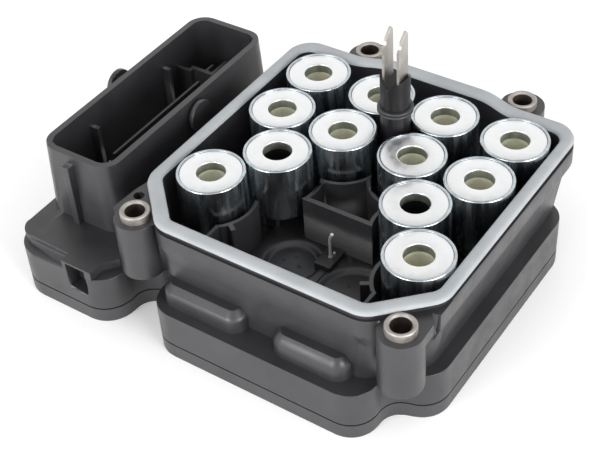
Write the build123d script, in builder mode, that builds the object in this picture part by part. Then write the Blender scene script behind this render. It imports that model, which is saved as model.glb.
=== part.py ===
from build123d import *
import os

# Brake control module: the electronic half of an anti-lock brake unit, lying on its cover with the
# valve coils upwards. Millimetres, +Z up. The origin is under the middle of the outline box, on the
# underside of the cover. +X runs from the wiring connector towards the coils, -Y is the front wall.

# ---- heights above the underside of the cover -------------------------------------------------------
cover_height = 4.75
seal_thickness = 0.5
housing_base = cover_height + seal_thickness
board_base = 9.4
board_top = 11.0
chamber_top = 14.6
flange_top = 16.8
floor_base = 17.0
floor_top = 19.0
block_tier_top = 20.0
contact_block_top = 22.0
bump_top = 23.7
can_base = 25.5
slant_foot = 29.5
rib_top = 34.0
lip_base = 34.5
boss_top = 40.1
lip_top = 42.0
sleeve_top = 42.5
gasket_top = 43.15
can_top = 44.0
shroud_rim = 44.0
collar_base = 48.6
tower_top = 61.5
blade_tip = 75.5

# ---- reach of the module from the middle line of its housing ----------------------------------------
peg_reach = 88.9
flange_side = 48.65
block_front = 60.6
back_boss_y = 47.1
back_boss_radius = 6.75
front_boss_x, front_boss_y = 42.45, -50.6
front_boss_radius = 6.3

middle_x = (peg_reach - front_boss_x - front_boss_radius) / 2
middle_y = (block_front - back_boss_y - back_boss_radius) / 2
datum = Plane(origin=(middle_x, middle_y, 0))

# ---- valve coils: six places, and the same six mirrored ---------------------------------------------
coil_middle_x = 0.8
coil_radius = 10.0
coil_bore = 4.25
coil_pattern = [
    (33.4, 27.1),
    (10.8, 27.1),
    (32.9, 6.65),
    (11.6, 6.65),
    (22.7, -10.75),
    (33.7, -27.9),
]
coil_places = [(coil_middle_x + side * x, y) for side in (-1, 1) for x, y in coil_pattern]
front_coils = [coil_places[5], coil_places[11]]
pin_size = 0.8
pin_spread = 2.6
pin_setback = 6.0

# ---- screw bosses and their sleeves -----------------------------------------------------------------
back_boss_x = 26.5
boss_foot = 21.4
boss_places = [(side * front_boss_x, front_boss_y) for side in (-1, 1)]
boss_places += [(side * back_boss_x, back_boss_y) for side in (-1, 1)]
sleeve_radius = 4.3
sleeve_bore = 2.9
ear_base = 36.4
lip_setback = 0.7

# ---- flange: broad lobes of one radius beside the hollows that clear the screws ---------------------
notch_radius = 6.6
lobe_radius = 8.3
notch_inner_x = front_boss_x - notch_radius - 0.05
notch_outer_x = front_boss_x + notch_radius + 0.05
notch_y = front_boss_y + notch_radius
flange_corners = [
    (-86.5, -block_front, 9.0),
    (-notch_outer_x, -block_front, 9.0),
    (-notch_outer_x, notch_y, notch_radius),
    (-notch_inner_x, notch_y, notch_radius),
    (-notch_inner_x, -60.0, lobe_radius),
    (notch_inner_x, -60.0, lobe_radius),
    (notch_inner_x, notch_y, notch_radius),
    (flange_side, notch_y, lobe_radius),
    (flange_side, 33.3, lobe_radius),
    (37.0, 40.2, 0),
    (20.2, 40.2, 4.0),
    (20.2, 49.5, 4.0),
    (-20.2, 49.5, 4.0),
    (-20.2, 40.2, 4.0),
    (-86.5, 40.2, lobe_radius),
]

# ---- connector --------------------------------------------------------------------------------------
shroud_left, shroud_right = -84.7, -58.0
shroud_front, shroud_back = -43.3, 35.3
shroud_wall = 2.0
shroud_floor = 20.6
shroud_spine = -72.6
peg_inner_reach = 55.2
peg_radius = 4.95
peg_y, peg_height = -2.9, 38.5
pin_row_x = -71.4
window_back = -56.0
signal_pin = 0.64
signal_pitch = 3.2
signal_top = 28.0
signal_places = [
    (pin_row_x + side * 4.2, -25.0 + signal_pitch * i) for side in (-1, 1) for i in range(12)
]
power_pin = 0.8
power_width = 6.3
power_places = [(x, y) for x in (-77.0, -66.0) for y in (-34.5, 27.0)]

# ---- pump contact tower and the contact block in the front bay --------------------------------------
tower_x, tower_y = 0.8, 16.9
tower_radius = 4.4
blade_offset = 2.4
blade_width = 5.0
blade_thickness = 0.8
block_x, block_y = 1.7, -21.25


def level(height):
    """The level plane at a height, centred on the middle line of the housing."""
    return datum.offset(height)


def upright(x, y, facing):
    """A vertical plane through (x, y), whose own Y is the height above the cover's underside."""
    across = Vector(0, 0, 1).cross(Vector(*facing))
    return Plane(origin=(middle_x + x, middle_y + y, 0), x_dir=across, z_dir=facing)


def outline(corners):
    """A flat shape through (x, y, radius) corners, each corner rounded to its radius."""
    with BuildSketch() as shape:
        with BuildLine():
            FilletPolyline(
                [(x, y) for x, y, radius in corners],
                radius=[radius for x, y, radius in corners],
                close=True,
            )
        make_face()
    return shape.sketch


def slab(x0, x1, y0, y1, radius=0.0):
    """A rectangle between two X and two Y positions, its corners rounded."""
    return outline([(x0, y0, radius), (x1, y0, radius), (x1, y1, radius), (x0, y1, radius)])


def rim(front, side, diagonal, back, swell, corner):
    """The coil bay's outline: front corners cut at 45 degrees, and a back that swells in its middle."""
    right = [
        (diagonal - front, -front, corner),
        (side, side - diagonal, corner),
        (side, back, corner),
        (26.0, back, 0),
        (17.0, back + swell, 0),
    ]
    return outline(right + [(-x, y, radius) for x, y, radius in reversed(right)])


def lip_outline(inset):
    """The outer edge of wall and gasket, or that of the lip, which stands back under the gasket."""
    return rim(
        front=53.45 - inset,
        side=48.45 - inset,
        diagonal=86.5 - 1.5 * inset,
        back=42.1 - inset,
        swell=3.4,
        corner=8.0 - inset,
    )


def wall_outline(lean):
    """The wall under the lip, which leans outwards towards its top at the sides and the back."""
    return rim(
        front=52.0,
        side=44.8 + lean,
        diagonal=83.4 + lean,
        back=38.6 + lean,
        swell=3.4,
        corner=6.5,
    )


def bay_outline():
    return rim(front=49.0, side=44.6, diagonal=80.3, back=37.4, swell=3.4, corner=4.1)


def chamber_outline(inset):
    """The board chamber, a plain shape inside the flange and behind the window, drawn inwards by an inset."""
    left, right = -84.0 + inset, 46.2 - inset
    front, back = -57.4 + inset, 37.8 - inset
    left_front = window_back + 1.4 + inset
    hollow_in, hollow_out, hollow_y = 33.0 - inset, 51.8 + inset, -41.2 + inset
    cut = 3.5 - 0.6 * inset
    return outline(
        [
            (left, left_front + cut, 0),
            (left + cut, left_front, 0),
            (-hollow_out, left_front, 0),
            (-hollow_out, hollow_y, 0),
            (-hollow_in, hollow_y, 0),
            (-hollow_in, front + cut, 0),
            (cut - hollow_in, front, 0),
            (hollow_in - cut, front, 0),
            (hollow_in, front + cut, 0),
            (hollow_in, hollow_y, 0),
            (right - cut, hollow_y, 0),
            (right, hollow_y + cut, 0),
            (right, 30.0 - 0.6 * inset, 0),
            (33.5 - 0.3 * inset, back, 0),
            (left + cut, back, 0),
            (left, back - cut, 0),
        ]
    )


os.makedirs("parts", exist_ok=True)

# ---- housing: one moulding --------------------------------------------------------------------------
pocket_radius = 12.0
pocket_wall = 1.1
bay_left, bay_right, bay_back = -20.0, 21.6, -15.6
straight_from = -37.4

# thin walls that follow the coils round the open front bay and the blind cell behind it; beside the
# two front coils they leave the circle, carry a stop tab and run straight to the front wall
with BuildSketch() as coil_ribs:
    with Locations(*coil_places):
        Circle(pocket_radius + pocket_wall)
    add(slab(-11.0, 12.6, bay_back, bay_back + 1.5))
    with Locations(*coil_places):
        Circle(pocket_radius, mode=Mode.SUBTRACT)
    with BuildSketch(mode=Mode.PRIVATE) as front_bay:
        add(slab(bay_left - 8.0, bay_right + 8.0, -49.5, bay_back))
        with Locations(*front_coils):
            Circle(pocket_radius + pocket_wall, mode=Mode.SUBTRACT)
    add(front_bay.sketch, mode=Mode.SUBTRACT)
    add(slab(-31.9, 33.5, straight_from, 8.0), mode=Mode.INTERSECT)
    for side, (x, y) in zip((1, -1), front_coils):
        wall_x = x + side * (pocket_radius + pocket_wall - 5.1)
        add(slab(wall_x - pocket_wall / 2, wall_x + pocket_wall / 2, -49.5, straight_from + 0.3))
        with Locations(Location((x, y), (0, 0, -33.0 * side))):
            with Locations((side * 14.0, 0)):
                Rectangle(3.2, 1.4)

with BuildPart() as housing:
    # the flange that closes over the board, and the walls that rise from it to the sealing lip
    with BuildSketch(level(housing_base)):
        add(outline(flange_corners))
    extrude(amount=flange_top - housing_base)
    with BuildSketch(level(flange_top)):
        add(wall_outline(0.0))
    with BuildSketch(level(slant_foot)):
        add(wall_outline(1.5))
    loft(ruled=True)
    with BuildSketch(level(slant_foot)):
        add(wall_outline(1.5))
    with BuildSketch(level(lip_base)):
        add(lip_outline(0.0))
    loft(ruled=True)
    with BuildSketch(level(lip_base)):
        add(lip_outline(0.0))
    extrude(amount=boss_top - lip_base)
    with BuildSketch(level(boss_top)):
        add(lip_outline(lip_setback))
    extrude(amount=lip_top - boss_top)
    # screw bosses, each with a web that ties it to the wall
    for side in (-1, 1):
        with BuildSketch(level(boss_foot)):
            with Locations((side * front_boss_x, front_boss_y)):
                Circle(front_boss_radius)
            add(
                outline(
                    [
                        (side * 39.6, -53.4, 0),
                        (side * 45.3, -47.7, 0),
                        (side * 39.0, -41.4, 0),
                        (side * 33.3, -47.1, 0),
                    ]
                )
            )
            with Locations((side * back_boss_x, back_boss_y)):
                Circle(back_boss_radius)
            add(slab(side * back_boss_x - 4.0, side * back_boss_x + 4.0, 36.0, back_boss_y))
        extrude(amount=boss_top - boss_foot)
    # the corner that fills the angle between the right front boss and the side wall
    with BuildSketch(level(slant_foot)):
        add(outline([(41.0, -44.0, 0), (46.3, -40.6, 0), (46.3, -34.0, 0), (41.0, -34.0, 0)]))
    with BuildSketch(level(lip_base)):
        add(outline([(41.0, -47.5, 0), (48.4, -44.6, 0), (48.4, -34.0, 0), (41.0, -34.0, 0)]))
    loft(ruled=True)
    with BuildSketch(level(lip_base)):
        add(outline([(41.0, -47.5, 0), (48.4, -44.6, 0), (48.4, -34.0, 0), (41.0, -34.0, 0)]))
    extrude(amount=boss_top - lip_base)
    # the drilled shelf beside the left front boss and the ear of the right one
    with BuildSketch(level(ear_base)):
        add(
            outline(
                [
                    (-50.3, -51.0, 0),
                    (-42.0, -51.0, 0),
                    (-42.0, -35.3, 0),
                    (-48.4, -35.3, 0),
                    (-50.3, -41.0, 0),
                ]
            )
        )
        add(outline([(44.0, -54.4, 0), (48.7, -50.4, 0), (48.4, -44.6, 0), (42.0, -44.5, 0)]))
    extrude(amount=boss_top - ear_base)
    with BuildSketch(level(boss_top)):
        with Locations((-47.1, -43.4)):
            Circle(1.6)
    extrude(amount=-4.0, mode=Mode.SUBTRACT)
    # the notch behind the ear
    with BuildSketch(level(lip_base)):
        add(outline([(46.1, -41.3, 0), (48.4, -44.6, 0), (50.0, -44.6, 0), (50.0, -41.0, 0)]))
    extrude(amount=boss_top - lip_base, mode=Mode.SUBTRACT)
    # the two cushions low on the front wall
    for x0, x1 in ((-32.6, -5.2), (4.4, 28.5)):
        with BuildSketch(level(flange_top)):
            add(outline([(x0, -56.8, 4.4), (x1, -56.8, 4.4), (x1, -51.0, 0), (x0, -51.0, 0)]))
        extrude(amount=bump_top - flange_top)
    # the raised tier of the connector block, with the pillar of the test window at its front
    with BuildSketch(level(flange_top)):
        add(
            outline(
                [
                    (-86.5, -57.2, 5.5),
                    (-66.0, -57.2, 0),
                    (-66.0, -block_front, 0),
                    (-55.0, -block_front, 0),
                    (-55.0, -55.4, 0),
                    (-51.3, -51.3, 0),
                    (-51.3, 38.0, 0),
                    (-86.5, 38.0, 5.5),
                ]
            )
        )
    extrude(amount=block_tier_top - flange_top)
    # the shroud, drawn in by its draft, with its spines and pivot pegs
    with BuildSketch(level(block_tier_top)):
        add(slab(shroud_left - 1.3, shroud_right + 1.3, shroud_front - 0.7, shroud_back + 0.7, 6.7))
    with BuildSketch(level(shroud_rim)):
        add(slab(shroud_left, shroud_right, shroud_front, shroud_back, 6.0))
    loft(ruled=True)
    with BuildSketch(level(block_tier_top)):
        add(
            slab(
                shroud_spine - 1.2,
                shroud_spine + 1.2,
                shroud_front - 2.6,
                shroud_back + 2.6,
            )
        )
    extrude(amount=shroud_rim - 2.5 - block_tier_top)
    for peg_x, thickness, radius in (
        (-peg_reach, peg_reach - peg_inner_reach, peg_radius - 1.7),
        (-peg_reach, 1.3, peg_radius),
        (-peg_inner_reach, -1.3, peg_radius),
    ):
        with BuildSketch(upright(peg_x, peg_y, facing=(1, 0, 0))):
            with Locations((0, peg_height)):
                Circle(radius)
        extrude(amount=thickness)
    # the hollows: coil bay, connector cavity and board chamber
    with BuildSketch(level(floor_top)):
        add(bay_outline())
    extrude(amount=lip_top - floor_top, mode=Mode.SUBTRACT)
    with BuildSketch(level(shroud_floor)):
        add(
            slab(
                shroud_left + shroud_wall,
                shroud_right - shroud_wall,
                shroud_front + shroud_wall,
                shroud_back - shroud_wall,
                4.0,
            )
        )
    extrude(amount=shroud_rim - shroud_floor, mode=Mode.SUBTRACT)
    with BuildSketch(level(housing_base)):
        add(chamber_outline(0.0))
    extrude(amount=chamber_top - housing_base, mode=Mode.SUBTRACT)
    with BuildSketch(level(chamber_top)):
        add(slab(-32.0, 42.0, -46.0, 35.0))
        add(slab(-42.0, -30.0, -36.0, 35.0))
        add(slab(-83.0, -55.0, -50.0, 34.0))
    extrude(amount=floor_base - chamber_top, mode=Mode.SUBTRACT)
    # ribs round the coils
    with BuildSketch(level(floor_top)):
        add(coil_ribs.sketch)
    extrude(amount=rib_top - floor_top)
    # keys inside the shroud: two ribs on its long wall, a spine along its middle and a stepped barrier
    with BuildSketch(level(shroud_floor)):
        for y in (-23.0, 12.0):
            add(slab(shroud_left + 1.0, shroud_left + 5.1, y - 0.7, y + 0.7))
    extrude(amount=38.0 - shroud_floor)
    with BuildSketch(level(shroud_floor)):
        add(slab(pin_row_x - 0.5, pin_row_x + 0.5, -27.0, 15.6))
        add(slab(pin_row_x + 0.8, pin_row_x + 1.8, 20.4, 29.1))
        add(slab(shroud_left + 1.0, -77.0, 18.6, 19.8))
        add(slab(-78.2, -77.0, 18.6, 21.6))
        add(slab(-78.2, pin_row_x + 1.0, 20.4, 21.6))
    extrude(amount=rib_top - shroud_floor)
    # the blind window in the front of the pillar
    with BuildSketch(level(10.0)):
        add(slab(-64.6, -57.4, -block_front, window_back))
    extrude(amount=9.3, mode=Mode.SUBTRACT)
    # bores for the sleeves
    with BuildSketch(level(boss_foot)):
        with Locations(*boss_places):
            Circle(sleeve_radius)
    extrude(amount=sleeve_top - boss_foot, mode=Mode.SUBTRACT)
    # holes in the floor of the bay for the coil pins, the tower and the contact block
    with BuildSketch(level(floor_base)):
        for x, y in coil_places:
            with Locations((x, y - pin_setback)):
                Rectangle(2 * pin_spread + pin_size + 0.4, pin_size + 0.4)
        with Locations((tower_x, tower_y)):
            Rectangle(7.0, 6.0)
    extrude(amount=floor_top - floor_base, mode=Mode.SUBTRACT)

housing.part.label = "housing"
export_step(housing.part, "parts/housing.step")

# ---- cover: a shallow pan that closes the board chamber from below ----------------------------------
cover_floor = 2.4
with BuildPart() as bottom_cover:
    with BuildSketch(level(0)):
        add(outline(flange_corners))
    extrude(amount=cover_height)
    with BuildSketch(level(cover_floor)):
        add(chamber_outline(0.0))
    extrude(amount=cover_height - cover_floor, mode=Mode.SUBTRACT)

bottom_cover.part.label = "bottom_cover"
export_step(bottom_cover.part, "parts/bottom_cover.step")

# ---- seal between cover and housing, set back from their edge ---------------------------------------
with BuildPart() as cover_seal:
    with BuildSketch(level(cover_height)):
        add(chamber_outline(-0.8))
        add(chamber_outline(0.0), mode=Mode.SUBTRACT)
    extrude(amount=seal_thickness)

cover_seal.part.label = "cover_seal"
export_step(cover_seal.part, "parts/cover_seal.step")

# ---- gasket moulded onto the lip --------------------------------------------------------------------
with BuildPart() as rim_gasket:
    with BuildSketch(level(lip_top)):
        add(lip_outline(0.0))
        add(bay_outline(), mode=Mode.SUBTRACT)
    extrude(amount=gasket_top - lip_top)

rim_gasket.part.label = "rim_gasket"
export_step(rim_gasket.part, "parts/rim_gasket.step")

# ---- steel sleeves in the four screw bosses ---------------------------------------------------------
with BuildPart() as mounting_sleeves:
    with BuildSketch(level(boss_foot)):
        with Locations(*boss_places):
            Circle(sleeve_radius)
            Circle(sleeve_bore, mode=Mode.SUBTRACT)
    extrude(amount=sleeve_top - boss_foot)

mounting_sleeves.part.label = "mounting_sleeves"
export_step(mounting_sleeves.part, "parts/mounting_sleeves.step")

# ---- valve coils: each a steel can round a potted winding, with a bore for the valve dome -----------
with BuildPart() as valve_coils:
    with BuildSketch(level(can_base)):
        with Locations(*coil_places):
            Circle(coil_radius)
            Circle(coil_bore, mode=Mode.SUBTRACT)
    extrude(amount=can_top - can_base)

valve_coils.part.label = "valve_coils"
export_step(valve_coils.part, "parts/valve_coils.step")

# ---- coil pins, two to a coil, down to the board ----------------------------------------------------
with BuildPart() as coil_pins:
    with BuildSketch(level(board_top)):
        for x, y in coil_places:
            with Locations((x - pin_spread, y - pin_setback), (x + pin_spread, y - pin_setback)):
                Rectangle(pin_size, pin_size)
    extrude(amount=can_base - board_top)

coil_pins.part.label = "coil_pins"
export_step(coil_pins.part, "parts/coil_pins.step")

# ---- springy pads that hold the coils up against the valve block ------------------------------------
with BuildPart() as coil_pads:
    with BuildSketch(level(floor_top)):
        for x, y in coil_places:
            with Locations((x, y + 6.8)):
                Rectangle(7.0, 3.6)
    extrude(amount=can_base - floor_top)

coil_pads.part.label = "coil_pads"
export_step(coil_pads.part, "parts/coil_pads.step")

# ---- circuit board and what is soldered to it -------------------------------------------------------
with BuildPart() as circuit_board:
    with BuildSketch(level(board_base)):
        add(chamber_outline(1.5))
    extrude(amount=board_top - board_base)

circuit_board.part.label = "circuit_board"
export_step(circuit_board.part, "parts/circuit_board.step")

chips = {
    "processor": [(-2.0, 8.0, 20.0, 20.0, 1.6)],
    "valve_drivers": [(25.0, 6.0, 14.0, 14.0, 1.6), (25.0, -14.0, 14.0, 14.0, 1.6)],
    "pump_transistors": [(-24.0, 20.0, 10.0, 14.0, 2.3), (-24.0, 2.0, 10.0, 14.0, 2.3)],
    "supply_capacitors": [(-62.0, 22.0, 8.0, 12.0, 5.0), (-62.0, 6.0, 8.0, 12.0, 5.0)],
}
for name, places in chips.items():
    with BuildPart() as chip:
        for x, y, width, length, height in places:
            with BuildSketch(level(board_base)):
                with Locations((x, y)):
                    Rectangle(width, length)
            extrude(amount=-height)
    chip.part.label = name
    export_step(chip.part, f"parts/{name}.step")

# ---- connector contacts -----------------------------------------------------------------------------
with BuildPart() as signal_pins:
    with BuildSketch(level(shroud_floor)):
        with Locations(*signal_places):
            Rectangle(signal_pin, signal_pin)
    extrude(amount=signal_top - shroud_floor)

signal_pins.part.label = "signal_pins"
export_step(signal_pins.part, "parts/signal_pins.step")

with BuildPart() as power_blades:
    with BuildSketch(level(shroud_floor)):
        with Locations(*power_places):
            Rectangle(power_pin, power_width)
    extrude(amount=signal_top + 1.5 - shroud_floor)

power_blades.part.label = "power_blades"
export_step(power_blades.part, "parts/power_blades.step")

# ---- pump contact: a moulded tower, its two blades and the ring that seals it into the valve block --
blade_places = [(tower_x + side * blade_offset, tower_y) for side in (-1, 1)]
with BuildPart() as pump_contact_tower:
    with BuildSketch(level(floor_top)):
        with Locations((tower_x, tower_y)):
            Circle(tower_radius)
    extrude(amount=tower_top - floor_top)
    with BuildSketch(upright(tower_x, tower_y, facing=(0, -1, 0))):
        with BuildLine():
            Polyline((-4.6, tower_top + 0.1), (0, tower_top - 3.6), (4.6, tower_top + 0.1), close=True)
        make_face()
    extrude(amount=6.0, both=True, mode=Mode.SUBTRACT)
    with BuildSketch(level(floor_top)):
        with Locations(*blade_places):
            Rectangle(blade_thickness, blade_width)
    extrude(amount=tower_top - floor_top, mode=Mode.SUBTRACT)

pump_contact_tower.part.label = "pump_contact_tower"
export_step(pump_contact_tower.part, "parts/pump_contact_tower.step")

with BuildPart() as pump_contact_seal:
    with BuildSketch(level(collar_base)):
        with Locations((tower_x, tower_y)):
            Circle(5.3)
            Circle(tower_radius, mode=Mode.SUBTRACT)
    extrude(amount=2.0)

pump_contact_seal.part.label = "pump_contact_seal"
export_step(pump_contact_seal.part, "parts/pump_contact_seal.step")

for name, (x, y) in zip(("pump_blade_left", "pump_blade_right"), blade_places):
    with BuildPart() as blade:
        with BuildSketch(upright(x, y, facing=(1, 0, 0))):
            with BuildLine():
                Polyline(
                    (-2.5, board_top),
                    (2.5, board_top),
                    (2.5, blade_tip - 1.2),
                    (1.6, blade_tip),
                    (-1.3, blade_tip - 2.6),
                    (-1.3, blade_tip - 4.4),
                    (-2.5, blade_tip - 4.8),
                    close=True,
                )
            make_face()
        extrude(amount=blade_thickness / 2, both=True)
    blade.part.label = name
    export_step(blade.part, f"parts/{name}.step")

# ---- contact block in the front bay, with its wire pin ----------------------------------------------
with BuildPart() as contact_block:
    with BuildSketch(level(floor_top)):
        with Locations((block_x, block_y)):
            Rectangle(5.4, 8.5)
    extrude(amount=contact_block_top - floor_top)

contact_block.part.label = "contact_block"
export_step(contact_block.part, "parts/contact_block.step")

with BuildPart() as contact_pin:
    with BuildSketch(upright(block_x, block_y, facing=(0, -1, 0))):
        with BuildLine():
            Polyline(
                (-0.3, contact_block_top),
                (0.3, contact_block_top),
                (0.4, contact_block_top + 5.0),
                (1.2, contact_block_top + 8.6),
                (0.7, contact_block_top + 9.0),
                (-0.2, contact_block_top + 5.2),
                close=True,
            )
        make_face()
    extrude(amount=0.3, both=True)

contact_pin.part.label = "contact_pin"
export_step(contact_pin.part, "parts/contact_pin.step")
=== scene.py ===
# %% [markdown]
# # A brake control module
# The solids of the module come from CAD, as a fixed frame. This script dresses them: it rounds the
# moulded edges, turns the coil cans and sleeves, lays the gasket bead, and gives each piece its finish.
# Blender works in metres here. Every object sits at the origin, and its place is in its mesh.

# %% Load the frame
import math

import bmesh
import bpy
import numpy as np
from mathutils import Matrix, Vector


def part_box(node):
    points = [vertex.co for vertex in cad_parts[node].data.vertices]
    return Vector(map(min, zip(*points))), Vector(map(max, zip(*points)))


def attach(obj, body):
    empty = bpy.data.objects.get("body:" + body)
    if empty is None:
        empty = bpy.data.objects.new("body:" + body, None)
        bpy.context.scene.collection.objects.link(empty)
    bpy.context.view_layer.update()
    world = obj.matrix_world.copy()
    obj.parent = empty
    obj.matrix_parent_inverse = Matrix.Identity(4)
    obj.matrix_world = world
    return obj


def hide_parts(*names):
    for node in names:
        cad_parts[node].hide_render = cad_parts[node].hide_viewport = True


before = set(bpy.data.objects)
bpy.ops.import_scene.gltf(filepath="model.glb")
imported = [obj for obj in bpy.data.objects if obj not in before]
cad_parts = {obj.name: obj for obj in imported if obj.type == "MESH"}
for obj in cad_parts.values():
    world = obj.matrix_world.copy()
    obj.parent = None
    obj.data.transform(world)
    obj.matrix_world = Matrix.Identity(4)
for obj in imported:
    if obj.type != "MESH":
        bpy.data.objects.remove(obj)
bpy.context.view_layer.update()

# %% [markdown]
# The designer drew the housing about its own middle line, and every place below is given on that plan,
# in millimetres, with heights above the underside of the cover. The gasket is symmetrical about the
# middle line and its front edge is 53.45 mm ahead of it, so its box says where the plan lies.

# %% Where the plan lies in the frame
mm = 0.001
gasket_front = 53.45
gasket_low, gasket_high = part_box("rim_gasket")
plan_x = (gasket_low.x + gasket_high.x) / 2 / mm
plan_y = gasket_low.y / mm + gasket_front


def in_frame(points):
    """Plan points (x, y, height) in millimetres become frame points in metres: shifted, then scaled."""
    return (np.asarray(points, float) + (plan_x, plan_y, 0.0)) * mm


print("plan origin", round(plan_x, 3), round(plan_y, 3))

# %% [markdown]
# New pieces could be modelled by hand, but a formula is easier to change and to check. So each one is
# worked out as a table of points, and this step makes an object of it. Doubled points are merged, the
# faces are turned outwards, and the skin is shaded smooth, except over edges that turn sharply.

# %% Points and faces become an object
smooth_turn = 35.0  # degrees: an edge that turns by more stays sharp
same_point = 1e-6  # metres: points nearer than this are one point


def new_piece(name, points, faces, smooth=smooth_turn):
    """An object at the origin whose mesh has these plan points and faces; edges that turn by more than
    `smooth` degrees stay sharp."""
    mesh = bpy.data.meshes.new(name)
    mesh.from_pydata(in_frame(points).tolist(), [], [list(face) for face in faces])
    piece = bpy.data.objects.new(name, mesh)
    bpy.context.scene.collection.objects.link(piece)
    skin = bmesh.new()
    skin.from_mesh(mesh)
    bmesh.ops.remove_doubles(skin, verts=skin.verts, dist=same_point)
    bmesh.ops.recalc_face_normals(skin, faces=skin.faces)
    skin.to_mesh(mesh)
    skin.free()
    mesh.shade_smooth()
    mesh.set_sharp_from_angle(angle=math.radians(smooth))
    return piece


print("edges stay sharp over", smooth_turn, "degrees")

# %% [markdown]
# Almost every new piece is a grid: rings of points that follow each other. Faces run between
# neighbouring rings, and the ends are closed by joining the last ring to the first, or with a flat face
# on each end. No skin is left open, so no piece shows its inside.

# %% Grids become closed skins
def grid_faces(rings, around, joined):
    """Index rows of the quads of a grid: point (i, j) is i * around + j, and j wraps round. With
    `joined` the last ring also meets the first."""
    i = np.arange(rings if joined else rings - 1)[:, None]
    j = np.arange(around)[None, :]
    after, right = (i + 1) % rings, (j + 1) % around
    corners = [i * around + j, i * around + right, after * around + right, after * around + j]
    return np.stack([np.broadcast_to(c, (len(i), around)) for c in corners], -1).reshape(-1, 4)


def skin_of(name, grid, joined=False, smooth=smooth_turn):
    """A closed skin over grid[ring, point, xyz]: joined end to end, or with a flat face on each end."""
    rings, around = grid.shape[:2]
    faces = grid_faces(rings, around, joined).tolist()
    if not joined:
        faces += [list(range(around))[::-1], list(range((rings - 1) * around, rings * around))]
    return new_piece(name, grid.reshape(-1, 3), faces, smooth)


print("two rings of four points have", len(grid_faces(2, 4, joined=False)), "side faces")

# %% [markdown]
# Cans, sleeves and rings are round. The Screw modifier could turn their profiles, but it may leave a
# skin inside out. Here the profile meets the cosine and sine of a whole turn, and its last point is
# joined to its first, so a profile is drawn as a closed outline.

# %% Turn a profile on an axis
ring_points = 96


def turned(name, profile, x, y, around=ring_points, smooth=smooth_turn):
    """A closed profile of (radius, height) points carried round the upright axis at (x, y): each point
    goes to x + radius * cos t, y + radius * sin t and its own height, for t over a whole turn."""
    radius, height = np.array(profile, float).T
    t = np.linspace(0.0, 2 * np.pi, around, endpoint=False)
    turned_x = x + radius[:, None] * np.cos(t)
    turned_y = y + radius[:, None] * np.sin(t)
    upright = np.broadcast_to(height[:, None], turned_x.shape)
    return skin_of(name, np.stack([turned_x, turned_y, upright], -1), joined=True, smooth=smooth)


print("a turned piece has", ring_points, "points to the ring, unless it is given another number")

# %% [markdown]
# Each piece is told what it belongs to: the CAD body that it moves with, and the CAD solid that it stands
# for, if there is one, which is then hidden. The module has no moving parts, so its one body is called
# root.

# %% Dress a piece
def dress(piece, slot, finish, *nodes):
    """Gives a piece its body and its finish, and hides the CAD nodes that it stands for. The slot is not
    used.
    """
    piece.data.materials.clear()
    piece.data.materials.append(finish)
    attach(piece, "root")
    if nodes:
        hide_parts(*nodes)
    return piece


# %% [markdown]
# ## Finishes as graphs of nodes
# A finish is a small graph of nodes on Object coordinates, so that its pattern stays on the piece from
# every side. The first helper adds a node and fills its sockets: a socket takes a number or colour, or
# the output of another node.

# %% Nodes and blank finishes
def add_node(tree, kind, settings=None, **sockets):
    """Adds a node; sockets are given by name, with underscores for spaces, or as in_0, in_1 by number."""
    node = tree.nodes.new(kind)
    for key, value in (settings or {}).items():
        setattr(node, key, value)
    for key, value in sockets.items():
        target = node.inputs[int(key[3:])] if key.startswith("in_") else node.inputs[key.replace("_", " ")]
        if isinstance(value, bpy.types.NodeSocket):
            tree.links.new(value, target)
        else:
            target.default_value = value
    return node


def blank_finish(name):
    """A new material with its graph, its Principled shader and Object coordinates."""
    finish = bpy.data.materials.new(name)
    finish.use_nodes = True
    tree = finish.node_tree
    shader = tree.nodes["Principled BSDF"]
    place = tree.nodes.new("ShaderNodeTexCoord").outputs["Object"]
    return finish, tree, shader, place


print("node helpers ready")

# %% [markdown]
# Noise drives everything that isn't even: tone, gloss and the small bumps. It seldom reaches black or
# white, so the greys in its middle are the ones that are spread over a range or a pair of colours.

# %% Noise, tone and bump
dark_grey, light_grey = 0.35, 0.65  # most of the noise lies between these


def noise(tree, place, scale, detail=3.0):
    """Grey noise of so many features to the metre."""
    made = add_node(tree, "ShaderNodeTexNoise", Vector=place, Scale=scale, Detail=detail, Roughness=0.55)
    return made.outputs["Fac"]


def spread(tree, value, low, high):
    """Maps dark_grey..light_grey onto low..high; inputs 1 to 4 of the node are those four numbers."""
    made = add_node(
        tree, "ShaderNodeMapRange", Value=value, in_1=dark_grey, in_2=light_grey, in_3=low, in_4=high
    )
    return made.outputs["Result"]


def tint(tree, value, dark, light):
    """A colour between dark and light, by a grey value."""
    ramp = tree.nodes.new("ShaderNodeValToRGB")
    first, last = ramp.color_ramp.elements
    first.position, last.position = dark_grey, light_grey
    first.color, last.color = (*dark, 1.0), (*light, 1.0)
    tree.links.new(value, ramp.inputs["Fac"])
    return ramp.outputs["Color"]


def dent(tree, shader, height, depth):
    """Bump on the shader's normal, from a grey height times a depth in metres."""
    made = add_node(tree, "ShaderNodeBump", Height=height, Distance=depth, Strength=1.0)
    tree.links.new(made.outputs["Normal"], shader.inputs["Normal"])


print("noise is used from", dark_grey, "to", light_grey)

# %% [markdown]
# A moulding isn't one flat colour. Two close tones lie in soft patches, a fine grain breaks up the
# highlights, and the gloss changes a little from place to place. One function serves every moulded,
# cast or laminated piece, with colours and grain of its own.

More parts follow.
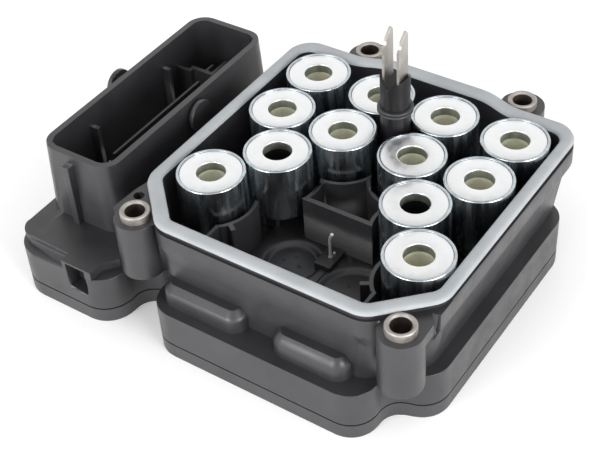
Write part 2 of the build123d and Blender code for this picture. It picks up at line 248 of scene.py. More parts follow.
# %% A moulded surface
def grained(name, dark, light, rough, grain=5200.0, depth=3e-5, patch=55.0, specular=0.7):
    """Tone in `patch` patches to the metre, gloss in patches a third as wide, and a bump of `grain`
    features to the metre that is `depth` metres deep."""
    finish, tree, shader, place = blank_finish(name)
    patches = noise(tree, place, patch, detail=4.0)
    fine = noise(tree, place, grain, detail=2.0)
    tree.links.new(tint(tree, patches, dark, light), shader.inputs["Base Color"])
    glossiest, dullest = rough - 0.05, rough + 0.07
    gloss = spread(tree, noise(tree, place, patch * 3.0), glossiest, dullest)
    tree.links.new(gloss, shader.inputs["Roughness"])
    dent(tree, shader, fine, depth)
    shader.inputs["Specular IOR Level"].default_value = specular
    return finish


print("moulded surface ready")

# %% [markdown]
# Colours are given as amounts of light, so a black plastic is about 0.03 and a grey silicone 0.4. The
# housing and its cover are nylon, nearly black and half glossy. The contact tower is a deeper black,
# and the bobbins are a cream nylon that lets a little light in.

# %% Plastics, rubber and silicone
housing_plastic = grained("housing_plastic", (0.022, 0.0215, 0.024), (0.030, 0.029, 0.032), 0.35)
cover_plastic = grained("cover_plastic", (0.030, 0.029, 0.032), (0.039, 0.038, 0.041), 0.42)
tower_plastic = grained("tower_plastic", (0.006, 0.006, 0.007), (0.010, 0.010, 0.011), 0.38, specular=0.4)
soft_rubber = grained("soft_rubber", (0.020, 0.020, 0.021), (0.030, 0.030, 0.031), 0.5)
gasket_silicone = grained(
    "gasket_silicone",
    (0.345, 0.365, 0.38),
    (0.405, 0.425, 0.44),
    0.5,
    grain=2600.0,
    depth=2e-5,
    patch=90.0,
    specular=0.4,
)
bobbin_nylon = grained(
    "bobbin_nylon", (0.76, 0.75, 0.60), (0.84, 0.83, 0.68), 0.45, grain=1800.0, patch=260.0
)
bobbin_shader = bobbin_nylon.node_tree.nodes["Principled BSDF"]
bobbin_shader.inputs["Subsurface Weight"].default_value = 0.15
bobbin_shader.inputs["Subsurface Scale"].default_value = 0.002
# nearly black: painted shade for the dark inside of the empty bores of two coils and of the vents in the
# floor
painted_hole_shade = grained("painted_hole_shade", (0.004, 0.004, 0.004), (0.007, 0.007, 0.008), 0.45)
board_laminate = grained("board_laminate", (0.02, 0.12, 0.06), (0.03, 0.17, 0.09), 0.35)
chip_resin = grained("chip_resin", (0.022, 0.022, 0.022), (0.034, 0.034, 0.034), 0.6)
print("plastics", len(bpy.data.materials))

# %% [markdown]
# Drawn and plated metal shows streaks. A Mapping node scales the noise less along the upright axis than
# across it, so its features become upright streaks; turned and cut pieces get even noise. The wire of
# the contact is only partly metallic, so that it stays bright over a dark floor.

# %% Metals
even = (300.0, 300.0, 300.0)


def metal(name, dark, light, rough, brush=even, depth=1e-6, metallic=1.0):
    """A plated or turned metal: one noise, `brush` features to the metre along x, y and z, gives tone,
    gloss and a bump that is `depth` metres deep."""
    finish, tree, shader, place = blank_finish(name)
    stretched = add_node(tree, "ShaderNodeMapping", Vector=place, Scale=brush).outputs["Vector"]
    streaks = noise(tree, stretched, 1.0, detail=5.0)
    tree.links.new(tint(tree, streaks, dark, light), shader.inputs["Base Color"])
    glossiest, dullest = rough - 0.06, rough + 0.08
    tree.links.new(spread(tree, streaks, glossiest, dullest), shader.inputs["Roughness"])
    shader.inputs["Metallic"].default_value = metallic
    dent(tree, shader, streaks, depth)
    return finish


can_steel = metal(
    "can_steel", (0.46, 0.50, 0.53), (0.62, 0.67, 0.70), 0.25, brush=(420.0, 420.0, 50.0), depth=5e-7
)
disc_steel = metal(
    "disc_steel", (0.88, 0.885, 0.89), (0.93, 0.935, 0.94), 0.42, brush=(420.0, 420.0, 420.0)
)
sleeve_steel = metal("sleeve_steel", (0.38, 0.35, 0.33), (0.48, 0.45, 0.42), 0.55, depth=4e-6)
# the bore's finish is darker than the sleeve's: painted shade inside the bore
sleeve_bore_shade = metal("sleeve_bore_shade", (0.10, 0.08, 0.07), (0.17, 0.14, 0.12), 0.6, depth=4e-6)
bore_steel = metal("bore_steel", (0.34, 0.36, 0.31), (0.44, 0.46, 0.40), 0.5, depth=2e-6)
tinned_brass = metal("tinned_brass", (0.50, 0.475, 0.44), (0.57, 0.545, 0.505), 0.42)
bright_tin = metal("bright_tin", (0.80, 0.78, 0.73), (0.88, 0.86, 0.81), 0.4, metallic=0.45)
capacitor_case = metal(
    "capacitor_case", (0.5, 0.5, 0.52), (0.66, 0.66, 0.68), 0.3, brush=(900.0, 900.0, 120.0), depth=8e-6
)
print("finishes", len(bpy.data.materials))

# %% [markdown]
# ## The mouldings
# A CAD solid has knife-sharp edges, and a moulding has none: each edge catches a thin line of light. A
# Bevel modifier rounds them on a copy of the solid, and a weight on each edge says how much. The level
# edges at chosen heights, such as the rim of the cover, get a broad radius of their own, and the rest
# share a small one. Hollow edges stay as they are, and so do those round a sleeve, which fits tightly.

# %% How much each edge is rounded
sleeve_places = [(-42.45, -50.6), (42.45, -50.6), (-26.5, 47.1), (26.5, 47.1)]
sleeve_axes = [Vector(in_frame([(x, y, 0.0)])[0].tolist()) for x, y in sleeve_places]
round_sleeve = 4.5  # millimetres from a sleeve's axis, within which nothing is rounded
least_turn = 40.0  # degrees: a gentler edge isn't rounded
level = 0.01  # millimetres: heights this close are the same


def edge_radius(edge, broad, plain):
    """The radius of one edge in millimetres: 0 in a hollow, on a gentle turn or round a sleeve, the broad
    radius of its height if the edge is level and outward there, and otherwise the plain radius."""
    if len(edge.link_faces) != 2 or edge.calc_face_angle_signed() < math.radians(least_turn):
        return 0.0
    middle = (edge.verts[0].co + edge.verts[1].co) / 2
    if min((middle - axis).xy.length for axis in sleeve_axes) < round_sleeve * mm:
        return 0.0
    low, high = sorted(corner.co.z / mm for corner in edge.verts)
    if high - low > level:
        return plain
    return next((radius for height, radius in broad if abs(high - height) < level), plain)


print("sleeves at", sleeve_places)

# %% [markdown]
# Beside the right front boss, two arcs of the outline of the housing and the cover run past each other
# by 2 mm and leave a thin fold. It hardly shows on the solid, but a bevel would make it stand out, so
# its corners are drawn together first.

# %% Close the fold beside the right boss
same_corner = 2e-6  # metres: corners of a solid's copy nearer than this are one corner
fold_box = [(40.2, -44.3, 0.0), (42.6, -43.9, 0.0)]
arcs_meet = (41.0, -44.1, 0.0)


def close_fold(skin):
    """All corners that lie in the fold's box on the plan, at any height, move to where the arcs meet."""
    low, high = in_frame(fold_box)
    x, y, _ = in_frame([arcs_meet])[0]
    for corner in skin.verts:
        if low[0] < corner.co.x < high[0] and low[1] < corner.co.y < high[1]:
            corner.co.x, corner.co.y = x, y
    bmesh.ops.remove_doubles(skin, verts=skin.verts, dist=same_corner)
    bmesh.ops.dissolve_degenerate(skin, dist=same_corner, edges=skin.edges)


print("the fold closes at", arcs_meet[:2])

# %% [markdown]
# The front wall carries two cushions with widely rounded tops. A bevel that wide would run into its
# neighbours, so the mesh gets a chamfer first, and the bevel then rounds the chamfer's two edges.

# %% Which corners belong to a cushion
flange_top, cushion_top = 16.8, 23.7
cushion_spans = [(-32.6, -5.2), (4.4, 28.5)]
cushion_front, cushion_back = -56.8, -50.9
near = 0.1  # millimetres of play when points are looked for


def on_plan(corner):
    """A corner's place on the plan, in millimetres: in_frame turned round."""
    return np.array(corner.co) / mm - (plan_x, plan_y, 0.0)


def on_cushion(corner, left, right):
    """Whether a corner lies on the cushion that reaches from left to right across the plan."""
    x, y, z = on_plan(corner)
    inside = left - near < x < right + near and cushion_front - near < y < cushion_back
    return inside and flange_top - near < z < cushion_top + near


print("cushions", cushion_spans)

# %% [markdown]
# The chamfer is made by moving points, not by a cut. The top's outline is made smaller and stays on its
# height, and a ring of points on the upright sides keeps them straight below the chamfer.

# %% Ease the cushions
cushion_bend, cushion_cut, front_wall = 4.4, 2.2, -52.0
nearly_level = 0.1  # the most that the normal of an upright face points up or down


def ease_cushion(skin, left, right):
    """Chamfers the top of a cushion. Its upright sides get a ring of points, cushion_cut below the top.
    The points of the top move in by as much: on a corner arc of radius r about c, p becomes
    c + (p - c) * (r - cut) / r, and behind the arcs only the points on the wall slide along it."""
    upright = [face for face in skin.faces if abs(face.normal.z) < nearly_level]
    sides = [face for face in upright if all(on_cushion(v, left, right) for v in face.verts)]
    parts = list({part for face in sides for part in (*face.verts, *face.edges, face)})
    ring_height = (cushion_top - cushion_cut) * mm
    bmesh.ops.bisect_plane(skin, geom=parts, plane_co=(0, 0, ring_height), plane_no=(0, 0, 1))
    top = [v for v in skin.verts if on_cushion(v, left, right) and abs(v.co.z / mm - cushion_top) < level]
    drawn_in = (cushion_bend - cushion_cut) / cushion_bend
    for corner in top:
        x, y, z = on_plan(corner)
        middle_x = float(np.clip(x, left + cushion_bend, right - cushion_bend))
        middle_y = cushion_front + cushion_bend
        if y <= middle_y + near:
            x, y = middle_x + (x - middle_x) * drawn_in, middle_y + (y - middle_y) * drawn_in
        elif abs(y - front_wall) < near / 2:
            x = float(np.clip(x, left + cushion_cut, right - cushion_cut))
        corner.co = in_frame([(x, y, z)])[0].tolist()
    print("cushion from", left, "to", right, "sides", len(sides))


print("chamfers are", cushion_cut, "mm wide")

# %% [markdown]
# A CAD solid comes as loose triangles. Its copy is joined up, and triangles that lie in one plane become
# one face, so that only true edges are left to round. Behind the bevel, a Weighted Normal modifier lets
# the large faces say how their edges are shaded, so flat walls look flat right up to the rounding.

# %% A rounded copy of a solid
flat_turn = 0.6  # degrees: faces that meet at less are one face


def softened(node, finish, slot, plain, broad=()):
    """A copy of a CAD node with its outward edges rounded: by `plain` millimetres, or by the radius that
    `broad` pairs with the edge's height. An edge's weight is its radius over the widest one."""
    piece = bpy.data.objects.new(node + "_skin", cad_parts[node].data.copy())
    bpy.context.scene.collection.objects.link(piece)
    skin = bmesh.new()
    skin.from_mesh(piece.data)
    bmesh.ops.remove_doubles(skin, verts=skin.verts, dist=same_corner)
    close_fold(skin)
    bmesh.ops.dissolve_limit(skin, angle_limit=math.radians(flat_turn), verts=skin.verts, edges=skin.edges)
    if node == "housing":
        for left, right in cushion_spans:
            ease_cushion(skin, left, right)
    widest = max([plain] + [radius for _, radius in broad])
    weight = skin.edges.layers.float.new("bevel_weight_edge")
    for edge in skin.edges:
        edge[weight] = edge_radius(edge, broad, plain) / widest
    rounded = sum(edge[weight] > 0 for edge in skin.edges)
    skin.to_mesh(piece.data)
    skin.free()
    piece.data.shade_smooth()
    piece.data.set_sharp_from_angle(angle=math.radians(smooth_turn))
    rounding = piece.modifiers.new("rounding", "BEVEL")
    rounding.width = widest * mm
    rounding.offset_type = "ABSOLUTE"
    rounding.segments = 4
    rounding.limit_method = "WEIGHT"
    rounding.use_clamp_overlap = False
    flatter = piece.modifiers.new("flat faces stay flat", "WEIGHTED_NORMAL")
    flatter.keep_sharp = True
    flatter.weight = 80
    print(piece.name, "rounds", rounded, "edges")
    return dress(piece, slot, finish, node)


print("flat faces are joined up to", flat_turn, "degrees")

# %% [markdown]
# The housing's broad edges are the flange's rim, the cushions, the step of the connector block and the
# foot of the flange, which meets the cover in a fine dark line. The cover's lower rim is as round as the
# flange's. The tower, the contact block and the blades are small, and each has one small radius.

# %% Round the housing, the cover, the tower, the block and the blades
chamfer_foot, tier_top, flange_foot, cover_top = cushion_top - cushion_cut, 20.0, 5.25, 4.75
housing_broad = [
    (flange_top, 0.8), (cushion_top, 0.8), (chamfer_foot, 0.8), (tier_top, 0.6), (flange_foot, 0.5)
]
softened("housing", housing_plastic, "black_plastic", plain=0.25, broad=housing_broad)
softened("bottom_cover", cover_plastic, "black_plastic", plain=0.3, broad=[(0.0, 0.8), (cover_top, 0.3)])
softened("pump_contact_tower", tower_plastic, "black_plastic", plain=0.15)
softened("contact_block", housing_plastic, "black_plastic", plain=0.3)
for blade in ("pump_blade_left", "pump_blade_right"):
    softened(blade, tinned_brass, "tinned_brass", plain=0.08)

# %% [markdown]
# Pieces inside the housing, under the coils or deep in the connector are nearly hidden. They keep their
# CAD solids and only get a finish.

# %% Finishes for the solids that stay
kept = {
    "cover_seal": soft_rubber,
    "coil_pads": soft_rubber,
    "coil_pins": tinned_brass,
    "signal_pins": tinned_brass,
    "power_blades": tinned_brass,
    "circuit_board": board_laminate,
    "processor": chip_resin,
    "valve_drivers": chip_resin,
    "pump_transistors": chip_resin,
    "supply_capacitors": capacitor_case,
}
for node, finish in kept.items():
    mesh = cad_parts[node].data
    mesh.materials.clear()
    mesh.materials.append(finish)
print("kept solids", len(kept))

# %% [markdown]
# ## The valve coils
# Twelve coils stand in two groups of six, which mirror each other about a line 0.8 mm to the right of
# the plan's middle. Their foot and top come from the CAD solids that they stand for.

# %% Where the coils stand
coil_middle = 0.8
coil_plan = [(33.4, 27.1), (10.8, 27.1), (32.9, 6.65), (11.6, 6.65), (22.7, -10.75), (33.7, -27.9)]
coil_places = [(coil_middle + side * x, y) for side in (-1, 1) for x, y in coil_plan]
coil_low, coil_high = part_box("valve_coils")
coil_foot, coil_top = coil_low.z / mm, coil_high.z / mm
print("coils", len(coil_places), "from", round(coil_foot, 2), "to", round(coil_top, 2))

# %% [markdown]
# Each coil is a deep-drawn can, zinc plated, with a thick disc pressed into its mouth. The disc is the
# bright ring that faces up, a little lower than the can's lip, and a fine groove marks where they meet.
# The can is rounded at its foot and shoulder, as the drawing tool leaves it.

# %% Profiles of the can and its disc
def rounded_edge(radius, height, bend, start, end, steps=5):
    """Points of an arc of radius `bend` round (radius, height), from one angle to another in degrees."""
    angle = np.radians(np.linspace(start, end, steps))
    return list(zip(radius + bend * np.cos(angle), height + bend * np.sin(angle)))


can_radius, can_inside, groove_radius, bore_radius = 10.0, 9.0, 9.1, 4.25
foot_bend, shoulder_bend, lip_bend, seat_depth = 0.8, 0.45, 0.15, 3.0
disc_top, disc_foot, disc_bend, bore_bend = coil_top - 0.25, coil_top - 2.6, 0.2, 0.35
can_profile = (
    [(can_inside, coil_foot)]
    + rounded_edge(can_radius - foot_bend, coil_foot + foot_bend, foot_bend, -90, 0)
    + rounded_edge(can_radius - shoulder_bend, coil_top - shoulder_bend, shoulder_bend, 0, 90)
    + rounded_edge(groove_radius + lip_bend, coil_top - lip_bend, lip_bend, 90, 180, steps=3)
    + [(groove_radius, coil_top - seat_depth), (can_inside, coil_top - seat_depth)]
)
disc_profile = (
    [(bore_radius, disc_foot), (can_inside, disc_foot)]
    + rounded_edge(can_inside - disc_bend, disc_top - disc_bend, disc_bend, 0, 90, steps=3)
    + rounded_edge(bore_radius + bore_bend, disc_top - bore_bend, bore_bend, 90, 180)
)
print("can profile", len(can_profile), "points, disc profile", len(disc_profile), "points")

# %% [markdown]
# Under the rounded mouth of the disc the bore is lined by a short tube of duller steel, and below it a
# nylon bobbin goes on down. Ten bobbins are cream. Two are painted near black instead, as painted shade,
# so that their bores look empty and dark.

# %% Profiles of the bore's mouth and the bobbin
mouth_top, mouth_depth = coil_top - 0.7, 2.4
mouth_inside, mouth_outside = bore_radius - 0.02, bore_radius + 0.1
mouth_profile = [
    (mouth_inside, mouth_top - mouth_depth),
    (mouth_outside, mouth_top - mouth_depth),
    (mouth_outside, mouth_top),
    (mouth_inside, mouth_top),
]
bobbin_inside, bobbin_outside, bobbin_foot, bobbin_top = 4.4, 8.9, coil_foot + 0.2, coil_top - 2.7
bobbin_profile = [
    (bobbin_inside, bobbin_foot),
    (bobbin_outside, bobbin_foot),
    (bobbin_outside, bobbin_top),
    (bobbin_inside, bobbin_top),
]
print("bobbins from", round(bobbin_foot, 2), "to", round(bobbin_top, 2))

# %% [markdown]
# With the four profiles drawn, each coil is four turned pieces on one axis. They stay separate pieces,
# so that each has a finish of its own.

# %% Turn the cans, discs, mouths and bobbins
bobbins_painted_dark = (5, 11)
for number, (x, y) in enumerate(coil_places, 1):
    dress(turned(f"coil_{number}_can", can_profile, x, y), "zinc_steel", can_steel, "valve_coils")
    dress(turned(f"coil_{number}_disc", disc_profile, x, y), "zinc_steel", disc_steel, "valve_coils")
    dress(turned(f"coil_{number}_mouth", mouth_profile, x, y, around=64), "zinc_steel", bore_steel)
    # two bobbins are painted near black: painted shade, so their bores look empty
    bobbin_or_shade = painted_hole_shade if number in bobbins_painted_dark else bobbin_nylon
    dress(turned(f"coil_{number}_bobbin", bobbin_profile, x, y, around=64), "black_plastic", bobbin_or_shade)
print("dark bobbins", bobbins_painted_dark, "of", len(coil_places))

# %% [markdown]
# ## Steel sleeves in the screw bosses
# A sleeve is parted off a tube, and both ends are chamfered. The faces nearest to the axis take a second
# finish, a little duller and painted darker than the ends: painted shade inside the bore.

# %% Turn the sleeves
sleeve_low, sleeve_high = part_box("mounting_sleeves")
sleeve_foot, sleeve_top = sleeve_low.z / mm, sleeve_high.z / mm
sleeve_outer, sleeve_inner = 4.3, 2.9
foot_chamfer, mouth_chamfer, rim_chamfer, rim_drop = 0.4, 0.5, 0.3, 0.35
sleeve_profile = [
    (sleeve_inner + foot_chamfer, sleeve_foot),
    (sleeve_outer, sleeve_foot),
    (sleeve_outer, sleeve_top - rim_drop),
    (sleeve_outer - rim_chamfer, sleeve_top),
    (sleeve_inner + mouth_chamfer, sleeve_top),
    (sleeve_inner, sleeve_top - mouth_chamfer),
    (sleeve_inner, sleeve_foot + foot_chamfer),
]
for number, ((x, y), axis) in enumerate(zip(sleeve_places, sleeve_axes), 1):
    sleeve = turned(f"sleeve_{number}", sleeve_profile, x, y, around=72, smooth=20.0)
    dress(sleeve, "sleeve_steel", sleeve_steel, "mounting_sleeves")
    sleeve.data.materials.append(sleeve_bore_shade)
    centres = np.empty(3 * len(sleeve.data.polygons))
    sleeve.data.polygons.foreach_get("center", centres)
    from_axis = np.linalg.norm(centres.reshape(-1, 3)[:, :2] - axis.xy, axis=1)
    # faces in the bore get the painted shade
    in_shaded_bore = (from_axis < (sleeve_inner + near) * mm).astype(np.int32)
    sleeve.data.polygons.foreach_set("material_index", in_shaded_bore)
print("sleeves", len(sleeve_places), "from", round(sleeve_foot, 2), "to", round(sleeve_top, 2))

# %% [markdown]
# ## The gasket
# Liquid silicone is laid on the lip and cures into a low crowned band. Its outline is drawn as corners,
# each with a radius. A curve object could round them, but its inner and outer edges would then have
# different points; here both outlines get the same number, so a band can be laid between them.

# %% Outlines with rounded corners
def rounded_outline(corners, steps=10):
    """Points round a closed outline of (x, y, radius) corners. Each corner becomes an arc. It starts on
    the side before, radius / tan(half the angle) from the corner, and its centre lies on the bisector,
    radius / sin(half the angle) from the corner."""
    x, y, radius = np.array(corners, float).T
    here = np.stack([x, y], -1)
    to_last = np.roll(here, 1, 0) - here
    to_next = np.roll(here, -1, 0) - here
    to_last /= np.linalg.norm(to_last, axis=1, keepdims=True)
    to_next /= np.linalg.norm(to_next, axis=1, keepdims=True)
    half = np.arccos(np.clip((to_last * to_next).sum(1), -1, 1)) / 2
    bisector = to_last + to_next
    bisector /= np.linalg.norm(bisector, axis=1, keepdims=True)
    centre = here + bisector * (radius / np.sin(half))[:, None]
    start = here + to_last * (radius / np.tan(half))[:, None] - centre
    turn = np.sign(to_last[:, 0] * to_next[:, 1] - to_last[:, 1] * to_next[:, 0]) * (np.pi - 2 * half)
    angle = -turn[:, None] * np.linspace(0, 1, steps)
    cos, sin = np.cos(angle), np.sin(angle)
    arc = np.stack([start[:, :1] * cos - start[:, 1:] * sin, start[:, :1] * sin + start[:, 1:] * cos], -1)
    return (centre[:, None] + arc).reshape(-1, 2)


square = [(0, 0, 1), (9, 0, 1), (9, 9, 1), (0, 9, 1)]
print("a square with rounded corners has", len(rounded_outline(square)), "points")

# %% [markdown]
# The band lies between two outlines of the same shape: the lip's outer edge and the edge of the bay.
# Both have ten corners, with the two front ones cut off and a back that swells out in its middle.

# %% The band's two edges
def rim(front, side, diagonal, back, swell, corner):
    """The coil bay's outline: its front corners are cut along x - y = diagonal, and its back moves out by
    `swell` between 26 mm and 17 mm off the middle line, with wide bends there."""
    wide_bend = 20.0
    right = [
        (diagonal - front, -front, corner),
        (side, side - diagonal, corner),
        (side, back, corner),
        (26.0, back, wide_bend),
        (17.0, back + swell, wide_bend),
    ]
    return right + [(-x, y, radius) for x, y, radius in reversed(right)]


lip_rim = rim(front=gasket_front, side=48.45, diagonal=86.5, back=42.1, swell=3.4, corner=8.0)
bay_rim = rim(front=49.0, side=44.6, diagonal=80.3, back=37.4, swell=3.4, corner=4.1)
lip_edge, bay_edge = rounded_outline(lip_rim), rounded_outline(bay_rim)
print("outlines of", len(lip_edge), "and", len(bay_edge), "points")

# %% [markdown]
# Surface tension makes the band steep at its edges and nearly flat on top. The crown's height is the
# band's height times (1 - |2u - 1| ^ 2.6) ^ 0.45, where u goes from 0 at the lip's edge to 1 at the bay.

# %% Lay the gasket
gasket_foot, gasket_top = gasket_low.z / mm, gasket_high.z / mm
u = np.linspace(0.0, 1.0, 13)
crown = (gasket_top - gasket_foot) * np.clip(1 - np.abs(2 * u - 1) ** 2.6, 0, 1) ** 0.45
band = lip_edge[None] * (1 - u)[:, None, None] + bay_edge[None] * u[:, None, None]
heights = np.broadcast_to((gasket_foot + crown)[:, None, None], (*band.shape[:2], 1))
gasket = skin_of("gasket_band", np.concatenate([band, heights], -1), joined=True, smooth=60.0)
dress(gasket, "grey_silicone", gasket_silicone, "rim_gasket")
print("gasket band", len(gasket.data.polygons), "faces, height", round(gasket_top - gasket_foot, 2))

# %% [markdown]
# ## The pump contact
# A rubber ring seals the tower into the valve block. It has two lips and a waist between them, and it
# is turned like the cans.

# %% Turn the sealing ring
ring_low, ring_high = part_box("pump_contact_seal")
ring_foot, ring_top = ring_low.z / mm, ring_high.z / mm
tower_x, tower_y, tower_radius = 0.8, 16.9, 4.4
ring_radius, ring_lip, ring_waist = 5.3, 0.45, 0.7
ring_profile = (
    [(tower_radius, ring_foot)]
    + rounded_edge(ring_radius - ring_lip, ring_foot + ring_lip, ring_lip, -90, 90, steps=7)
    + [(ring_radius - ring_waist, (ring_foot + ring_top) / 2)]
    + rounded_edge(ring_radius - ring_lip, ring_top - ring_lip, ring_lip, -90, 90, steps=7)
    + [(tower_radius, ring_top)]
)
ring = turned("pump_seal_ring", ring_profile, tower_x, tower_y, around=72)
dress(ring, "black_rubber", soft_rubber, "pump_contact_seal")
print("sealing ring", len(ring.data.polygons), "faces")

# %% [markdown]
# ## The contact pin
# A short tinned wire stands on the contact block. Its foot is swollen by solder, and its tip is bent to
# one side and a little thicker. A curve with a bevel could show it; a round section carried along a
# line of points does too, and its thickness can change from point to point.

# %% Carry a wire along a path
def wire(name, path, thickness, around=12):
    """A round section carried along a path in the upright plane of a constant y: a point is the path's
    point + thickness / 2 * (cos t along the path's side + sin t along y)."""
    path = np.array(path, float)
    along = np.gradient(path, axis=0)
    along /= np.linalg.norm(along, axis=1, keepdims=True)
    side = np.stack([along[:, 2], np.zeros(len(path)), -along[:, 0]], -1)
    t = np.linspace(0.0, 2 * np.pi, around, endpoint=False)
    ring_y = np.stack([np.zeros(around), np.sin(t), np.zeros(around)], -1)
    half = np.broadcast_to(np.asarray(thickness, float) / 2, len(path))[:, None, None]
    grid = path[:, None] + half * (np.cos(t)[None, :, None] * side[:, None] + ring_y[None])
    return skin_of(name, grid)


print("wire helper ready")

# %% [markdown]
# The wire leans over by 0.95 mm above two thirds of its height. A cut-off stub of the same wire stands
# beside it on the block. Both rise with s, which goes from 0 at the foot to 1 at the tip.

# %% Bend the contact wire and set the stub
pin_low, pin_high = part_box("contact_pin")
pin_foot, pin_top = pin_low.z / mm, pin_high.z / mm
pin_x, pin_y = 1.9, -21.25
pin_height = pin_top - pin_foot - 0.05  # the wire's line ends just below the solid's top
lean, lean_start, tip_start = 0.95, 0.68, 0.7
wire_thickness, foot_swell, tip_swell = 0.8, 0.6, 0.15
s = np.linspace(0.0, 1.0, 18)
bent_x = pin_x + lean * np.clip((s - lean_start) / (1 - lean_start), 0, 1) ** 1.5
bent = np.stack([bent_x, np.full(len(s), pin_y), pin_foot + pin_height * s], -1)
tip = np.clip((s - tip_start) / (1 - tip_start), 0, 1)
swollen = wire_thickness + foot_swell * np.exp(-14 * s) + tip_swell * tip
dress(wire("contact_wire", bent, swollen), "tinned_brass", bright_tin, "contact_pin")
stub_x, stub_y, stub_height, stub_thickness = 2.3, -19.8, 0.6, 0.75
s = np.linspace(0.0, 1.0, 5)
stub = np.stack([np.full(len(s), stub_x), np.full(len(s), stub_y), pin_foot + stub_height * s], -1)
dress(wire("contact_stub", stub, stub_thickness), "tinned_brass", bright_tin)
print("contact wire from", round(pin_foot, 2), "to", round(pin_top, 2))

# %% [markdown]
# ## The bay's floor
# The floor of the coil bay is stepped: a low plateau carries the contact block, and two round cups are
# sunk in its front half. A boolean cut could sink them, but its edges would stay sharp. So each half of
# the plateau is a fan of rays from the middle of its cup: the inner points follow the cup's rounded
# wall, and the outer ones end on a box.

# %% A slab with a cup in it
floor_top, plateau_top = 19.0, 20.3
slab_foot = floor_top - 0.2  # the slab is let into the floor, so no gap shows
slab_chamfer = 0.3
never_zero = 1e-6  # stands in for the sine or cosine of a ray that runs along a side


def reach(t, x, y, box):
    """How far a ray from (x, y) at angle t goes before it meets the box (x0, y0, x1, y1): the nearer of
    the distances to the upright side and to the level side that it heads for."""
    x0, y0, x1, y1 = box
    across = np.where(np.cos(t) > 0, x1 - x, x - x0) / np.maximum(np.abs(np.cos(t)), never_zero)
    along = np.where(np.sin(t) > 0, y1 - y, y - y0) / np.maximum(np.abs(np.sin(t)), never_zero)
    return np.minimum(across, along)


def sunk_cup(name, x, y, low_radius, high_radius, box, around=160):
    """A slab in a box with a cup at (x, y). The cup's wall rises by (1 - cos v) / 2 of the plateau's
    height while its radius grows evenly with v, from 0 to pi. The slab then goes out to reach(t)."""
    t = np.linspace(0.0, 2 * np.pi, around, endpoint=False)
    v = np.linspace(0.0, np.pi, 9)
    wall_radius = low_radius + (high_radius - low_radius) * v / np.pi
    wall_height = floor_top + (plateau_top - floor_top) * (1 - np.cos(v)) / 2
    outer = reach(t, x, y, box)
    rings = [np.full(around, r) for r in (low_radius, *wall_radius)] + [outer - slab_chamfer, outer, outer]
    radius = np.minimum(np.stack(rings), outer)
    height = [slab_foot, *wall_height, plateau_top, plateau_top - slab_chamfer, slab_foot]
    height = np.repeat(np.array(height)[:, None], around, axis=1)
    grid = np.stack([x + radius * np.cos(t), y + radius * np.sin(t), height], -1)
    return skin_of(name, grid, joined=True, smooth=50.0)


print("plateau", round(plateau_top - floor_top, 2), "above the floor")

# %% [markdown]
# The two halves of the plateau meet on one line, so they look like one slab. The left cup has four small
# vents in a ring, and the right one shows a single vent. Each vent is a thin dark button on the floor:
# painted shade that stands for the dark inside of a hole, which it looks like at this size.

# %% Lay the plateau and its vents
halves_meet, plateau_left, plateau_right, plateau_front, plateau_back = 3.2, -20.5, 26.4, -48.8, -16.4
left_cup, right_cup = (-7.5, -26.7), (14.6, -29.2)
left_box = (plateau_left, plateau_front, halves_meet, plateau_back)
right_box = (halves_meet, plateau_front, plateau_right, plateau_back)
left_half = sunk_cup("plateau_left", *left_cup, low_radius=6.9, high_radius=8.9, box=left_box)
right_half = sunk_cup("plateau_right", *right_cup, low_radius=9.0, high_radius=11.0, box=right_box)
for half in (left_half, right_half):
    dress(half, "black_plastic", housing_plastic)
vent_foot, vent_top = floor_top + 0.02, floor_top + 0.08
vent_profile = [(0.0, vent_foot), (0.55, vent_foot), (0.5, vent_top), (0.0, vent_top)]
vent_ring, vent_x, vent_y = 2.7, left_cup[0] - 0.5, left_cup[1]
vent_turns = (0, 1.65, math.pi, 4.7)
vents = [(vent_x + vent_ring * math.cos(t), vent_y + vent_ring * math.sin(t)) for t in vent_turns]
vents.append((11.2, -26.2))
for number, (x, y) in enumerate(vents, 1):
    # each vent button is painted shade for a hole
    dress(turned(f"vent_{number}", vent_profile, x, y, around=16), "black_plastic", painted_hole_shade)
print("plateau halves", left_half.name, right_half.name, "vents", len(vents))

# %% [markdown]
# ## Table, light and camera
# The module lies on a white table. A grey floor with more light on it would look white too, but it would
# wash out the black plastic. So the table's colour is nearly white, and a little glow, which only the
# camera, mirrors and glass can see, lifts the rest. The glow lights nothing.

# %% The white table
def white_table(size=3.0, glow=0.12):
    """A square floor at the cover's underside, `size` metres wide. Its glow counts only for camera,
    glossy and transmission rays, and the module's shadow stays on it."""
    mesh = bpy.data.meshes.new("table")
    side = size / 2
    corners = [(-side, -side, 0), (side, -side, 0), (side, side, 0), (-side, side, 0)]
    mesh.from_pydata(corners, [], [(0, 1, 2, 3)])
    table = bpy.data.objects.new("table", mesh)
    bpy.context.scene.collection.objects.link(table)
    finish = bpy.data.materials.new("table_white")
    finish.use_nodes = True
    tree = finish.node_tree
    shader = tree.nodes["Principled BSDF"]
    shader.inputs["Base Color"].default_value = (0.95, 0.95, 0.95, 1.0)
    shader.inputs["Roughness"].default_value = 0.9
    shader.inputs["Specular IOR Level"].default_value = 0.1
    shader.inputs["Emission Color"].default_value = (1, 1, 1, 1)
    rays = tree.nodes.new("ShaderNodeLightPath").outputs
    either = {"operation": "MAXIMUM"}
    bounced = add_node(
        tree, "ShaderNodeMath", either, in_0=rays["Is Glossy Ray"], in_1=rays["Is Transmission Ray"]
    )
    seen = add_node(tree, "ShaderNodeMath", either, in_0=rays["Is Camera Ray"], in_1=bounced.outputs[0])
    lift = add_node(tree, "ShaderNodeMapRange", Value=seen.outputs[0], in_3=0.0, in_4=glow)
    tree.links.new(lift.outputs["Result"], shader.inputs["Emission Strength"])
    table.data.materials.append(finish)
    return table


print("table", white_table().name)

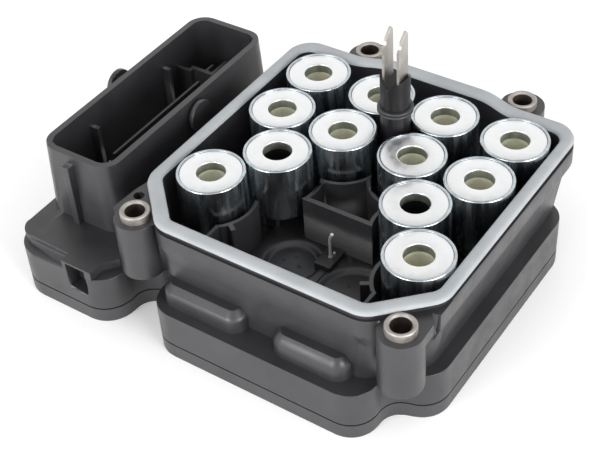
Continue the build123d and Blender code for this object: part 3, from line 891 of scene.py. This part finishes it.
# %% [markdown]
# Small products are lit in a light tent: white cloth all round, so that metal has something bright to
# mirror. The walls of such a tent are brighter than its roof, so the world is a ramp over the height of
# the direction: full strength up to the shoulder of the tent, and dimmer straight above. Upright faces
# and the polished discs catch the light of the walls, and the floor of the coil bay stays dark.

# %% The light tent
tent = [(0.0, 1.08), (0.68, 1.08), (0.84, 0.76), (1.0, 0.42)]  # height of the direction, strength
world = bpy.data.worlds.new("studio")
bpy.context.scene.world = world
world.use_nodes = True
sky = world.node_tree
direction = sky.nodes.new("ShaderNodeTexCoord").outputs["Generated"]
upward = add_node(sky, "ShaderNodeSeparateXYZ", Vector=direction).outputs["Z"]
ramp = sky.nodes.new("ShaderNodeValToRGB")
ramp.color_ramp.elements[1].position = 0.999
for _ in tent[2:]:
    ramp.color_ramp.elements.new(0.5)
for stop, (height, strength) in zip(ramp.color_ramp.elements, tent):
    stop.position = height
    stop.color = (strength, strength, strength, 1.0)
sky.links.new(upward, ramp.inputs["Fac"])
sky.links.new(ramp.outputs["Color"], sky.nodes["Background"].inputs["Color"])
bpy.context.scene.view_settings.view_transform = "Standard"
print("tent stops", len(ramp.color_ramp.elements))

# %% [markdown]
# Light that is the same from all sides makes a black box look flat. Two large, weak lamps, one on the
# right and one in front, make the walls differ and draw soft shadows.

# %% The lamps
lamp_target, lamp_size = (0, 0, 0.03), 0.64


def soft_lamp(name, place, power):
    """A square area lamp at a place in metres, aimed at the module, with its power in watts."""
    lamp = bpy.data.objects.new(name, bpy.data.lights.new(name, "AREA"))
    lamp.data.size = lamp_size
    lamp.data.energy = power
    lamp.location = place
    lamp.rotation_euler = (Vector(lamp_target) - Vector(place)).to_track_quat("-Z", "Y").to_euler()
    bpy.context.scene.collection.objects.link(lamp)


soft_lamp("right_lamp", (1.2, -0.3, 0.34), 12.0)
soft_lamp("front_lamp", (-0.2, -1.2, 0.34), 9.0)

# %% [markdown]
# The camera stands in front of the module, to the right and above, and looks down. Its place is on the
# plan, and three turns give its aim: round the vertical, down from the level, and about its own line.
# The lens is given in pixels of a picture 589 pixels wide, so it is divided by that width.

# %% Camera
turn_left, look_down, tilt = math.radians(36.88), math.radians(42.045), math.radians(-4.357)
camera_place = (157.296, -244.338, 278.208)
lens_pixels, picture_width = 1314.6, 589
camera = bpy.data.objects.new("camera", bpy.data.cameras.new("camera"))
camera.data.sensor_width = 36.0
camera.data.lens = lens_pixels / picture_width * camera.data.sensor_width
camera.data.clip_start, camera.data.clip_end = 0.01, 10.0
aim = (
    Matrix.Rotation(turn_left, 4, "Z")
    @ Matrix.Rotation(math.radians(90) - look_down, 4, "X")
    @ Matrix.Rotation(tilt, 4, "Z")
)
camera.matrix_world = Matrix.Translation(in_frame([camera_place])[0].tolist()) @ aim
bpy.context.scene.collection.objects.link(camera)
bpy.context.scene.camera = camera
print("camera at", tuple(round(v, 4) for v in camera.matrix_world.translation))
